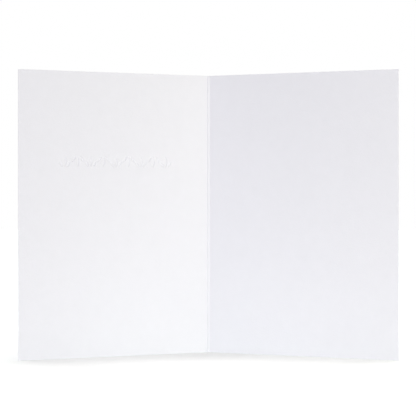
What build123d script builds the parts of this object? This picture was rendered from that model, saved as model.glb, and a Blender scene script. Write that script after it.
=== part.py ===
from build123d import *
import os

# A greeting card: one sheet of white board, creased down the middle and folded once.
# It stands open on its bottom edges like a shallow V, with the inside towards the reader.
# The front leaf, on the left as the inside is read, carries a blind-embossed row of sprigs:
# raised on the cover and sunk by the same amount into the inside.
#
# Frame: +Z up, +X across to the reader's right, -Y towards the reader.
# The origin lies on the table, in the middle of the V's footprint.
# Lengths are in millimetres and angles in degrees.

# The sheet
leaf_width = 127.0  # from the fold to each side edge
leaf_height = 177.8
board = 0.4  # thickness of the board
opening = 132.0  # angle between the insides of the two leaves

# The crease, pressed into the outside as a channel, which swells into a bead on the inside
crease_width = 1.8  # between the bead's two feet, measured over the leaves
bead_rise = 0.38  # crest of the bead above the straight line between its feet
bead_radius = 0.2  # round of the crest, between the bead's two straight flanks
channel_depth = 0.1  # floor of the channel in front of the line between its two shoulders

# The embossed row, centred across the front leaf
row_drop = 56.0  # from the leaf's top edge down to the middle of the row
sprig_count = 9
sprig_pitch = 8.4
sprig_height = 7.0  # length of a sprig's middle leaf
middle_leaf_width = 2.2
side_leaf_length = 4.6
side_leaf_width = 1.6
side_leaf_lean = 34.0  # from the middle leaf, outwards
side_leaf_gap = 1.2  # foot of a side leaf from the sprig's centre line
emboss_height = 0.3
emboss_draft = 40.0  # slope of the relief's flanks, from the upright


# Directions of the right leaf, seen from above: from the fold to its edge, and out of its back
along = Vector(0, -1).rotate(Axis.Z, opening / 2)
outward = along.rotate(Axis.Z, 90)
inner_foot = along * (crease_width / 2)
inner_tip = along * leaf_width
outer_foot = inner_foot + outward * board


def sheet_section():
    """The folded sheet from above: two flat leaves joined between the bead and the channel."""
    right = Polyline(inner_foot, inner_tip, inner_tip + outward * board, outer_foot)
    left = mirror(right, about=Plane.YZ)
    crest = (0, inner_foot.Y - bead_rise)
    bead = FilletPolyline(right @ 0, crest, left @ 0, radius=bead_radius)
    channel = ThreePointArc(right @ 1, (0, outer_foot.Y - channel_depth), left @ 1)
    return make_face(right + channel + left + bead)


def pointed_leaf(length, width):
    """A leaf-shaped outline that stands on its point at the origin."""
    edge = ThreePointArc((0, 0), (width / 2, length / 2), (0, length))
    return make_face(edge + mirror(edge, about=Plane.YZ))


def sprig():
    """A tall leaf between two short ones that lean outwards, centred on the origin."""
    side = pointed_leaf(side_leaf_length, side_leaf_width)
    side = Pos(side_leaf_gap, 0) * Rot(0, 0, -side_leaf_lean) * side
    leaves = pointed_leaf(sprig_height, middle_leaf_width) + side + mirror(side, about=Plane.YZ)
    return Pos(0, -sprig_height / 2) * leaves


def sprig_row():
    """The row of sprigs as low shapes with sloping flanks, every second one upside down."""
    row = Sketch()
    for number, place in enumerate(GridLocations(sprig_pitch, 0, sprig_count, 1)):
        row += place * Rot(0, 0, 180 * (number % 2)) * sprig()
    return extrude(row, emboss_height, taper=emboss_draft)


def folded_card():
    """The sheet with the row raised on the front leaf's cover and sunk into its inside."""
    left_along = Vector(-along.X, along.Y)
    left_outward = Vector(-outward.X, outward.Y)
    row_centre = left_along * (leaf_width / 2) + Vector(0, 0, leaf_height - row_drop)
    inside = Plane(origin=row_centre, x_dir=left_along, z_dir=left_outward)
    cover = inside.offset(board)
    relief = sprig_row()
    sheet = extrude(sheet_section(), leaf_height)
    return sheet + cover * relief - inside * relief


footprint_centre = Vector(0, (inner_tip.Y + outer_foot.Y) / 2)
os.makedirs("parts", exist_ok=True)
export_step(Pos(-footprint_centre) * folded_card(), "parts/folded_card.step")
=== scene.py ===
import math

import bmesh
import bpy
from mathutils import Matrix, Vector


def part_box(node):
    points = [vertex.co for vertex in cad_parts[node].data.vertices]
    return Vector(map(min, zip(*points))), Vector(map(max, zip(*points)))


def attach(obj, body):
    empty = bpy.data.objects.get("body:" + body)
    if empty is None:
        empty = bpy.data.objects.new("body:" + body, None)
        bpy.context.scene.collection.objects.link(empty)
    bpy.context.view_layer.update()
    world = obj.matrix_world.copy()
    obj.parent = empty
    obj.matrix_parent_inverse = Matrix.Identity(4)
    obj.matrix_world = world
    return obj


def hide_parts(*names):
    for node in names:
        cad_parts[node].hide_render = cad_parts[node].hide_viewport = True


# A greeting card of white board, creased down the middle and standing open like a shallow V.
# Lengths are in metres. +Z is up, +X to the reader's right and -Y towards the reader.

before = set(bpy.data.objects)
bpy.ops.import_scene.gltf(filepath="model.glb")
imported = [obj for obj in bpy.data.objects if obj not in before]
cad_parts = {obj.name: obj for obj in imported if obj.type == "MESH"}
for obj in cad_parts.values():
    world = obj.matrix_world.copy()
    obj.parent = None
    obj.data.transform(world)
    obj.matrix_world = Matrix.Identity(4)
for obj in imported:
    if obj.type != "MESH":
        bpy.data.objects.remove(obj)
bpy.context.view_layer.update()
mm = 0.001

# The sheet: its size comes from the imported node, and the rest is what its maker sets
card_low, card_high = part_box("folded_card")
board = 0.4 * mm
half_opening = math.radians(66.0)
fold_turn = math.pi / 2 - half_opening  # each leaf from the flat sheet
leaf_height = card_high.z - card_low.z
leaf_width = (card_high.x - board * math.cos(half_opening)) / math.sin(half_opening)
fold_y = card_low.y + leaf_width * math.cos(half_opening)

# The crease, which is pressed into the outside as a channel and swells into a bead on the inside
crease_width = 1.8 * mm
crease_steps = 16
bead_rise = 0.38 * mm
bead_radius = 0.2 * mm  # round of the bead's crest, between its two straight flanks
channel_depth = 0.1 * mm
crease_ring = 0.08 * mm  # level band beside the crease

# The embossed row on the front leaf
row_drop = 56.0 * mm  # from the top edge down to the middle of the row
row_x, row_z = -leaf_width / 2, leaf_height - row_drop
sprig_count = 9
sprig_pitch = 8.4 * mm
sprig_height = 7.0 * mm
window_margin = 1.0 * mm  # room above and below the sprigs, and half as much past each end's pitch
window_width = sprig_count * sprig_pitch + window_margin  # stretch of flat board that takes the row
window_height = sprig_height + 2 * window_margin
middle_leaf_width = 2.2 * mm
side_leaf_length = 4.6 * mm
side_leaf_width = 1.6 * mm
side_leaf_lean = math.radians(34.0)
side_leaf_gap = 1.2 * mm
emboss_height = 0.3 * mm
emboss_run = 0.42 * mm  # width of a flank, from the flat board to the floor of the dent
emboss_rim = 0.08 * mm  # the flank starts this far outside the die's outline
emboss_steps = 6
outline_steps = 20  # along each side of a leaf
flat_ring = 0.05 * mm  # level ring outside a flank, which keeps the board round it flat
floor_ring = 0.12 * mm

# The cut edges
edge_softness = 0.05 * mm
soft_steps = 2
sharp_corner = math.radians(80)  # only corners that turn by more than this are softened
edge_ring = 0.3 * mm  # level band inside a cut edge
side_band = 2 * board * math.cos(half_opening)  # the side edges lie this near the card's two ends
facing = 0.7  # a face whose normal has more than this along an axis faces that way

# The mesh
cell = 8.6 * mm  # largest cell of the flat board
weld = 0.001 * mm  # points nearer than this are one


def linear(hex_colour):
    """An sRGB hex colour as the linear numbers that a shader takes."""
    shares = [int(hex_colour[start : start + 2], 16) / 255 for start in (1, 3, 5)]
    return (*[s / 12.92 if s <= 0.04045 else ((s + 0.055) / 1.055) ** 2.4 for s in shares], 1.0)


def add_node(tree, kind, values=None, links=None, **settings):
    """Adds a node with its options, the numbers on its sockets and what feeds them."""
    node = tree.nodes.new(kind)
    for name, value in settings.items():
        setattr(node, name, value)
    for name, value in (values or {}).items():
        node.inputs[name].default_value = value
    for name, source in (links or {}).items():
        tree.links.new(source, node.inputs[name])
    return node


# Bleached wood pulp, 350 g/m2, uncoated: a matt, faintly cool white that is never quite even
paper_white = "#F2F1F7"
paper_shade = "#EFEEF4"  # where the pulp lies thinner
edge_white, edge_shade = "#ECEBEC", "#E2E1E2"
pulp_cloud = 6.0 * mm
felt_mark = 0.7 * mm  # spacing of the tooth on the board's two faces
paper_ior = 1.48
mix_a, mix_b, mix_result = 6, 7, 2  # sockets of a Mix node that mixes colours


def board_finish(name, white, shade, roughness, tooth, tooth_depth, stretch=(1, 1, 1)):
    """A finish of the board: its clouded white, and its tooth, drawn out along an axis or not."""
    material = bpy.data.materials.new(name)
    material.use_nodes = True
    tree = material.node_tree
    shader = tree.nodes["Principled BSDF"]
    place_on_card = add_node(tree, "ShaderNodeTexCoord").outputs["Object"]
    cloud = add_node(
        tree,
        "ShaderNodeTexNoise",
        {"Scale": 1 / pulp_cloud, "Detail": 4.0, "Roughness": 0.6},
        {"Vector": place_on_card},
    )
    colour = add_node(
        tree,
        "ShaderNodeMix",
        {mix_a: linear(shade), mix_b: linear(white)},
        {"Factor": cloud.outputs["Fac"]},
        data_type="RGBA",
    )
    along_grain = add_node(tree, "ShaderNodeMapping", {"Scale": stretch}, {"Vector": place_on_card})
    fibres = add_node(
        tree,
        "ShaderNodeTexNoise",
        {"Scale": 1 / tooth, "Detail": 3.0, "Roughness": 0.55},
        {"Vector": along_grain.outputs["Vector"]},
    )
    relief = add_node(tree, "ShaderNodeBump", {"Distance": tooth_depth}, {"Height": fibres.outputs["Fac"]})
    tree.links.new(colour.outputs[mix_result], shader.inputs["Base Color"])
    tree.links.new(relief.outputs["Normal"], shader.inputs["Normal"])
    shader.inputs["Roughness"].default_value = roughness
    shader.inputs["IOR"].default_value = paper_ior
    return material


# As the board comes off the machine: soft felt marks and no gloss from any side. Its tooth is
# drawn deeper than the real one, which is a few hundredths of a millimetre, so that it shows
open_board = board_finish(
    "uncoated_white_board",
    paper_white,
    paper_shade,
    roughness=0.88,
    tooth=felt_mark,
    tooth_depth=0.12 * mm,
)
# Squeezed between the two halves of the die: its tooth is ironed flat and it has the faintest sheen
pressed_board = board_finish(
    "die_pressed_board",
    paper_white,
    paper_shade,
    roughness=0.68,
    tooth=felt_mark,
    tooth_depth=0.03 * mm,
)
# Scored and folded: the outer fibres are stretched into fine lines along the fold
creased_board = board_finish(
    "creased_board",
    paper_white,
    paper_shade,
    roughness=0.92,
    tooth=0.18 * mm,
    tooth_depth=0.012 * mm,
    stretch=(1, 1, 0.06),
)
# Cut by the guillotine: torn fibre ends, which are rougher and a little darker than the face
cut_board = board_finish(
    "guillotined_edge",
    edge_white,
    edge_shade,
    roughness=0.95,
    tooth=0.12 * mm,
    tooth_depth=0.02 * mm,
)
finishes = (open_board, pressed_board, creased_board, cut_board)


def deselect_all():
    """Leaves no object selected, because an operator acts on all that is."""
    bpy.ops.object.select_all(action="DESELECT")


def start_plane(name, location):
    """A unit plane that faces the reader, as the start of a piece, left in edit mode."""
    deselect_all()
    bpy.ops.mesh.primitive_plane_add(size=1, location=location, rotation=(math.pi / 2, 0, 0))
    plane = bpy.context.object
    plane.name = plane.data.name = name
    for finish in finishes:
        plane.data.materials.append(finish)
    bpy.ops.object.transform_apply(location=True, rotation=True, scale=True)
    bpy.ops.object.mode_set(mode="EDIT")
    bpy.ops.mesh.select_mode(type="VERT")
    return plane


def select(kind, test):
    """Selects only the verts, edges or faces that pass the test, in edit mode."""
    bpy.ops.mesh.select_mode(type={"verts": "VERT", "edges": "EDGE", "faces": "FACE"}[kind])
    bpy.ops.mesh.select_all(action="DESELECT")
    mesh = bmesh.from_edit_mesh(bpy.context.edit_object.data)
    for element in getattr(mesh, kind):
        if test(element):
            element.select_set(True)
    bmesh.update_edit_mesh(bpy.context.edit_object.data)


def assign(finish):
    """Gives a finish to the selected faces, in edit mode."""
    bpy.context.edit_object.active_material_index = finishes.index(finish)
    bpy.ops.object.material_slot_assign()


def middle(element):
    """The middle of an edge or a face."""
    corners = [vert.co for vert in element.verts]
    return sum(corners[1:], corners[0]) / len(corners)


def cut(co, no):
    """Cuts the whole mesh along a plane, and keeps both sides."""
    bpy.ops.mesh.select_all(action="SELECT")
    bpy.ops.mesh.bisect(plane_co=co, plane_no=no, threshold=weld)


def pressed_leaf(length, width):
    """One leaf of a sprig, foot down on the origin: rings from the flat board to the dent's floor."""
    centre = (0, 0, length / 2)
    tip_angle = 2 * math.atan(width / length)  # half the angle of the leaf's point

    def size_at(inset):
        """The outline's width and length, moved in all round by inset."""
        return width - 2 * inset, length - 2 * inset / math.sin(tip_angle)

    ring_width, ring_length = size_at(-emboss_rim - flat_ring)
    radius = (ring_length**2 + ring_width**2) / (4 * ring_width)
    side_turn = 2 * math.asin(ring_length / 2 / radius)
    leaf = start_plane("pressed_leaf", (0, 0, (length - ring_length) / 2))
    bpy.ops.mesh.merge(type="CENTER")
    for side in (1, -1):
        axis_x = side * (ring_width / 2 - radius)
        bpy.ops.mesh.spin(
            steps=outline_steps, angle=side_turn, center=(axis_x, 0, length / 2), axis=(0, 1, 0)
        )
    bpy.ops.mesh.select_all(action="SELECT")
    bpy.ops.mesh.remove_doubles(threshold=weld)
    profile = [(-emboss_rim, 0.0)]
    for step in range(1, emboss_steps + 1):
        share = step / emboss_steps
        profile.append((emboss_run * share - emboss_rim, emboss_height * share**2 * (3 - 2 * share)))
    profile.append((emboss_run - emboss_rim + floor_ring, emboss_height))
    depth = 0.0
    for inset, next_depth in profile:
        new_width, new_length = size_at(inset)
        bpy.ops.mesh.extrude_region_move(TRANSFORM_OT_translate={"value": (0, next_depth - depth, 0)})
        bpy.ops.transform.resize(
            value=(new_width / ring_width, 1, new_length / ring_length), center_override=centre
        )
        ring_width, ring_length, depth = new_width, new_length, next_depth
    bpy.ops.mesh.edge_face_add()
    bpy.ops.mesh.select_all(action="SELECT")
    assign(pressed_board)
    bpy.ops.object.mode_set(mode="OBJECT")
    return leaf


def place(piece, lean=0.0, to=(0, 0, 0)):
    """Turns a piece clockwise about the origin as the reader sees it, and then moves it there."""
    piece.rotation_euler = (0, lean, 0)
    piece.location = to
    deselect_all()
    piece.select_set(True)
    bpy.context.view_layer.objects.active = piece
    bpy.ops.object.transform_apply(location=True, rotation=True, scale=True)


def join(pieces):
    """Joins the pieces into the first one."""
    deselect_all()
    for piece in pieces:
        piece.select_set(True)
    bpy.context.view_layer.objects.active = pieces[0]
    bpy.ops.object.join()
    return pieces[0]


def copy_of(piece):
    """A copy with its own mesh."""
    deselect_all()
    piece.select_set(True)
    bpy.context.view_layer.objects.active = piece
    bpy.ops.object.duplicate()
    return bpy.context.object


def pressed_sprig():
    """A tall leaf between two short ones that lean outwards, with its middle at the origin."""
    foot = -sprig_height / 2
    leaves = [pressed_leaf(sprig_height, middle_leaf_width)]
    place(leaves[0], to=(0, 0, foot))
    for side in (-1, 1):
        leaves.append(pressed_leaf(side_leaf_length, side_leaf_width))
        place(leaves[-1], side * side_leaf_lean, (side * side_leaf_gap, 0, foot))
    return join(leaves)


def pressed_row():
    """The row of sprigs, every second one upside down, on the flat sheet's front leaf."""
    model = pressed_sprig()
    sprigs = []
    for number in range(sprig_count):
        sprigs.append(copy_of(model))
        along_row = (number - (sprig_count - 1) / 2) * sprig_pitch
        place(sprigs[-1], math.pi * (number % 2), (row_x + along_row, fold_y, row_z))
    bpy.data.objects.remove(model)
    return join(sprigs)


def even_cuts(start, end, size):
    """Places that cut a stretch into even parts no longer than size, ends left out."""
    parts = math.ceil((end - start) / size)
    return [start + (end - start) * part / parts for part in range(1, parts)]


def flat_sheet():
    """The inside of the flat sheet, in cells, with the row of sprigs in a window of its front leaf."""
    sheet = start_plane("card", (0, fold_y, leaf_height / 2))
    bpy.ops.transform.resize(
        value=(2 * leaf_width, 1, leaf_height), center_override=(0, 0, leaf_height / 2)
    )
    window_x = (row_x - window_width / 2, row_x + window_width / 2)
    window_z = (row_z - window_height / 2, row_z + window_height / 2)
    crease_x, edge_x, edge_z = crease_width / 2, leaf_width - edge_ring, leaf_height - edge_ring
    columns = [-edge_x, *window_x, -crease_x - crease_ring, crease_x + crease_ring, edge_x]
    rows = [edge_ring, *window_z, edge_z]
    for low, high in zip(columns[:-1], columns[1:]):
        columns = columns + even_cuts(low, high, cell)
    for low, high in zip(rows[:-1], rows[1:]):
        rows = rows + even_cuts(low, high, cell)
    for x in columns + [-crease_x, crease_x]:
        cut((x, 0, 0), (1, 0, 0))
    for z in rows:
        cut((0, 0, z), (0, 0, 1))

    def in_window(element):
        spot = middle(element)
        return window_x[0] < spot.x < window_x[1] and window_z[0] < spot.z < window_z[1]

    select("faces", in_window)
    bpy.ops.mesh.delete(type="FACE")
    bpy.ops.object.mode_set(mode="OBJECT")
    join([sheet, pressed_row()])
    bpy.ops.object.mode_set(mode="EDIT")

    def round_window(edge):
        spot = middle(edge)
        inside_x = window_x[0] - weld < spot.x < window_x[1] + weld
        inside_z = window_z[0] - weld < spot.z < window_z[1] + weld
        return edge.is_boundary and inside_x and inside_z

    select("edges", round_window)
    bpy.ops.mesh.fill(use_beauty=True)
    bpy.ops.object.mode_set(mode="OBJECT")
    return sheet


def give_thickness():
    """The cover side of the sheet, with the row raised on it, and the cut edges between."""
    bpy.ops.mesh.select_mode(type="FACE")
    bpy.ops.mesh.select_all(action="SELECT")
    bpy.ops.mesh.extrude_region_move(TRANSFORM_OT_translate={"value": (0, board, 0)})


def fold_leaves():
    """Takes out the crease and turns the leaves towards the reader."""
    select("faces", lambda face: abs(middle(face).x) < crease_width / 2)
    bpy.ops.mesh.delete(type="FACE")
    for side in (-1, 1):
        select("verts", lambda vert: vert.co.x * side > 0)
        bpy.ops.transform.rotate(
            value=side * fold_turn, orient_axis="Z", center_override=(0, fold_y, 0)
        )


def bead_height(x, foot_x):
    """The bead above the line between its feet: straight flanks and a round crest."""
    slope = bead_rise / foot_x
    flank = bead_rise - slope * abs(x)
    lean = math.atan(slope)
    if abs(x) >= bead_radius * math.sin(lean):
        return flank
    crest_centre = bead_rise - bead_radius / math.cos(lean)
    return crest_centre + math.sqrt(bead_radius**2 - x**2)


def channel_height(x, foot_x):
    """The channel's floor above the line between its shoulders: one round hollow."""
    radius = (foot_x**2 + channel_depth**2) / (2 * channel_depth)
    return math.sqrt(radius**2 - x**2) - radius + channel_depth


def press_crease():
    """Joins the leaves by the crease: a bead on the inside, a shallow channel on the outside."""
    select("edges", lambda edge: edge.is_boundary)
    bpy.ops.mesh.bridge_edge_loops(number_cuts=crease_steps - 1, interpolation="LINEAR")
    assign(creased_board)
    bead_y = fold_y - crease_width / 2 * math.cos(half_opening)
    bead_x = crease_width / 2 * math.sin(half_opening)
    channel_y = bead_y + board * math.sin(half_opening)
    channel_x = bead_x + board * math.cos(half_opening)
    for line_y, foot_x, height in ((bead_y, bead_x, bead_height), (channel_y, channel_x, channel_height)):
        for step in range(1, crease_steps):
            column_x = foot_x * (2 * step / crease_steps - 1)

            def on_column(vert):
                return abs(vert.co.y - line_y) < weld and abs(vert.co.x - column_x) < weld

            select("verts", on_column)
            bpy.ops.transform.translate(value=(0, -height(column_x, foot_x), 0))


def cut_edge(face):
    """Whether a face is on the sheet's cut perimeter."""
    at_side = abs(middle(face).x) > card_high.x - side_band
    return abs(face.normal.z) > facing or (at_side and abs(face.normal.x) > facing)


def make_card():
    """The whole card, folded, with its finishes on its faces."""
    card = flat_sheet()
    bpy.ops.object.mode_set(mode="EDIT")
    give_thickness()
    fold_leaves()
    press_crease()
    bpy.ops.mesh.select_mode(type="FACE")
    bpy.ops.mesh.select_all(action="SELECT")
    bpy.ops.mesh.normals_make_consistent(inside=False)
    bpy.ops.object.mode_set(mode="OBJECT")
    deselect_all()
    card.select_set(True)
    bpy.context.view_layer.objects.active = card
    bpy.ops.object.modifier_add(type="BEVEL")
    soften = card.modifiers[-1]
    soften.limit_method = "ANGLE"
    soften.angle_limit = sharp_corner
    soften.width = edge_softness
    soften.segments = soft_steps
    bpy.ops.object.modifier_apply(modifier=soften.name)
    bpy.ops.object.mode_set(mode="EDIT")
    select("faces", cut_edge)
    assign(cut_board)
    bpy.ops.object.mode_set(mode="OBJECT")
    bpy.ops.object.shade_smooth()
    return card


card = make_card()
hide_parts("folded_card")
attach(card, "root")


# The camera: level, a little above the table, in front of the fold
eye_distance = 974.3 * mm  # from the fold
eye_height = 97.8 * mm
eye_x = -0.27 * mm
lens_length, sensor_width = 130.97, 36.0  # in millimetres, as the camera takes them
horizon_shift = -0.01875  # the photo's horizon is a little above its middle
deselect_all()
bpy.ops.object.camera_add(
    location=(eye_x, fold_y - eye_distance, eye_height), rotation=(math.pi / 2, 0, 0)
)
camera = bpy.context.object
camera.data.sensor_width = sensor_width
camera.data.lens = lens_length
camera.data.shift_y = horizon_shift
bpy.context.scene.camera = camera
bpy.context.scene.view_settings.view_transform = "Standard"


# The room: white all round, as a product table with a lit sweep behind it
pure_white = "#FFFFFF"
room_fill = 0.51  # strength of the room's light on the card
backdrop = 1.0  # strength of the white that the camera sees behind it
floor_size = 8.0
floor_gap = 0.01 * mm  # the card stands this far above the floor's mesh
sweep_white = "#F4F4F4"
sweep_roughness = 0.9
glow_colour = "#F2FFF9"  # of all that the sweep gives off by itself, faintly green
pool_glow = 0.42  # light that the sweep throws up at the foot of the fold, unseen itself
pool_reach = 0.24  # it fades out this far from the fold
foot_glow = 0.15  # more of it along the leaves' feet, full at their outer ends and none at the fold
foot_reach = 0.018  # it fades out this far in front of and behind the feet
painted_floor_glow = 0.9  # painted glow, seen only by the camera: round the card it whitens the sweep to the backdrop's white and wipes out the card's shadows there
painted_floor_glow_start, painted_floor_glow_end = 0.092, 0.26  # from the middle of the card's footprint
mix_low, mix_high, mix_number = 2, 3, 0  # sockets of a Mix node that mixes numbers

room = bpy.data.worlds.new("room")
bpy.context.scene.world = room
room.use_nodes = True
air = room.node_tree.nodes["Background"]
air.inputs["Color"].default_value = linear(pure_white)
seen = add_node(room.node_tree, "ShaderNodeLightPath").outputs["Is Camera Ray"]
strength = add_node(
    room.node_tree,
    "ShaderNodeMix",
    {mix_low: room_fill, mix_high: backdrop},
    {"Factor": seen},
    data_type="FLOAT",
)
room.node_tree.links.new(strength.outputs[mix_number], air.inputs["Strength"])

sweep = bpy.data.materials.new("matt_white_sweep")
sweep.use_nodes = True
sweep_tree = sweep.node_tree
sweep_shader = sweep_tree.nodes["Principled BSDF"]
sweep_shader.inputs["Base Color"].default_value = linear(sweep_white)
sweep_shader.inputs["Roughness"].default_value = sweep_roughness
sweep_shader.inputs["Emission Color"].default_value = linear(glow_colour)
on_floor = add_node(sweep_tree, "ShaderNodeTexCoord").outputs["Object"]

# The pool of light at the foot of the fold
from_fold = add_node(
    sweep_tree, "ShaderNodeVectorMath", {1: (0, fold_y, 0)}, {0: on_floor}, operation="DISTANCE"
)
pool = add_node(
    sweep_tree,
    "ShaderNodeMapRange",
    {"From Min": 0.0, "From Max": pool_reach, "To Min": pool_glow, "To Max": 0.0},
    {"Value": from_fold.outputs["Value"]},
)

# The strip of light along the feet: with their slant taken out, both leaves' feet lie at fold_y
spot = add_node(sweep_tree, "ShaderNodeSeparateXYZ", links={"Vector": on_floor})
aside = add_node(sweep_tree, "ShaderNodeMath", links={0: spot.outputs["X"]}, operation="ABSOLUTE")
straightened = add_node(
    sweep_tree,
    "ShaderNodeMath",
    {1: math.tan(fold_turn)},
    {0: aside.outputs["Value"], 2: spot.outputs["Y"]},
    operation="MULTIPLY_ADD",
)
behind_feet = add_node(
    sweep_tree, "ShaderNodeMath", {1: fold_y}, {0: straightened.outputs["Value"]}, operation="SUBTRACT"
)
off_feet = add_node(
    sweep_tree, "ShaderNodeMath", links={0: behind_feet.outputs["Value"]}, operation="ABSOLUTE"
)
towards_end = add_node(
    sweep_tree,
    "ShaderNodeMapRange",
    {"From Min": 0.0, "From Max": leaf_width, "To Min": 0.0, "To Max": foot_glow},
    {"Value": from_fold.outputs["Value"]},
)
strip = add_node(
    sweep_tree,
    "ShaderNodeMapRange",
    {"From Min": 0.0, "From Max": foot_reach, "To Max": 0.0},
    {"Value": off_feet.outputs["Value"], "To Min": towards_end.outputs["Result"]},
)
thrown_up = add_node(
    sweep_tree,
    "ShaderNodeMath",
    links={0: pool.outputs["Result"], 1: strip.outputs["Result"]},
    operation="ADD",
)

# The camera sees only the painted glow round the card, and the card gets the light of the pool and the
# strip
from_middle = add_node(sweep_tree, "ShaderNodeVectorMath", links={0: on_floor}, operation="LENGTH")
# Painted glow on the sweep for the camera only: none near the card, rising away from it, so that the
# card's shadows fade out to white
painted_whitening = add_node(
    sweep_tree,
    "ShaderNodeMapRange",
    {"From Min": painted_floor_glow_start, "From Max": painted_floor_glow_end, "To Min": 0.0, "To Max": painted_floor_glow},
    {"Value": from_middle.outputs["Value"]},
    interpolation_type="SMOOTHSTEP",
)
seen_floor = add_node(sweep_tree, "ShaderNodeLightPath").outputs["Is Camera Ray"]
glow = add_node(
    sweep_tree,
    "ShaderNodeMix",
    links={"Factor": seen_floor, mix_low: thrown_up.outputs["Value"], mix_high: painted_whitening.outputs["Result"]},
    data_type="FLOAT",
)
sweep_tree.links.new(glow.outputs[mix_number], sweep_shader.inputs["Emission Strength"])

deselect_all()
bpy.ops.mesh.primitive_plane_add(size=floor_size, location=(0, 0, -floor_gap))
floor = bpy.context.object
floor.name = "floor"
floor.data.materials.append(sweep)


def add_light(name, power, size, location, target, colour=pure_white):
    """A soft box that faces the target and isn't seen itself."""
    away = Vector(location) - Vector(target)
    deselect_all()
    bpy.ops.object.light_add(
        type="AREA", location=location, rotation=away.to_track_quat("Z", "Y").to_euler()
    )
    light = bpy.context.object
    light.name = name
    light.data.shape = "RECTANGLE"
    light.data.size, light.data.size_y = size
    light.data.energy = power
    light.data.color = linear(colour)[:3]
    light.visible_camera = False


# The key, a little warm, skims the right leaf and lights the left one. A cooler box does the
# reverse, and one overhead, just behind the card, whitens the floor and grounds the card on it
low_on_fold = (0, fold_y, 0.05)
high_on_fold = (0, fold_y, 0.12)
add_light(
    "key_box",
    power=0.72,
    size=(0.12, 0.16),
    location=(0.4, -0.24, 0.27),
    target=high_on_fold,
    colour="#FFFEEB",
)
add_light(
    "side_box",
    power=1.39,
    size=(0.5, 0.3),
    location=(-0.6, -0.7, 0.12),
    target=low_on_fold,
    colour="#F4F4FF",
)
add_light("top_box", power=6.4, size=(0.9, 0.28), location=(0, 0.17, 1.1), target=(0, 0, 0))
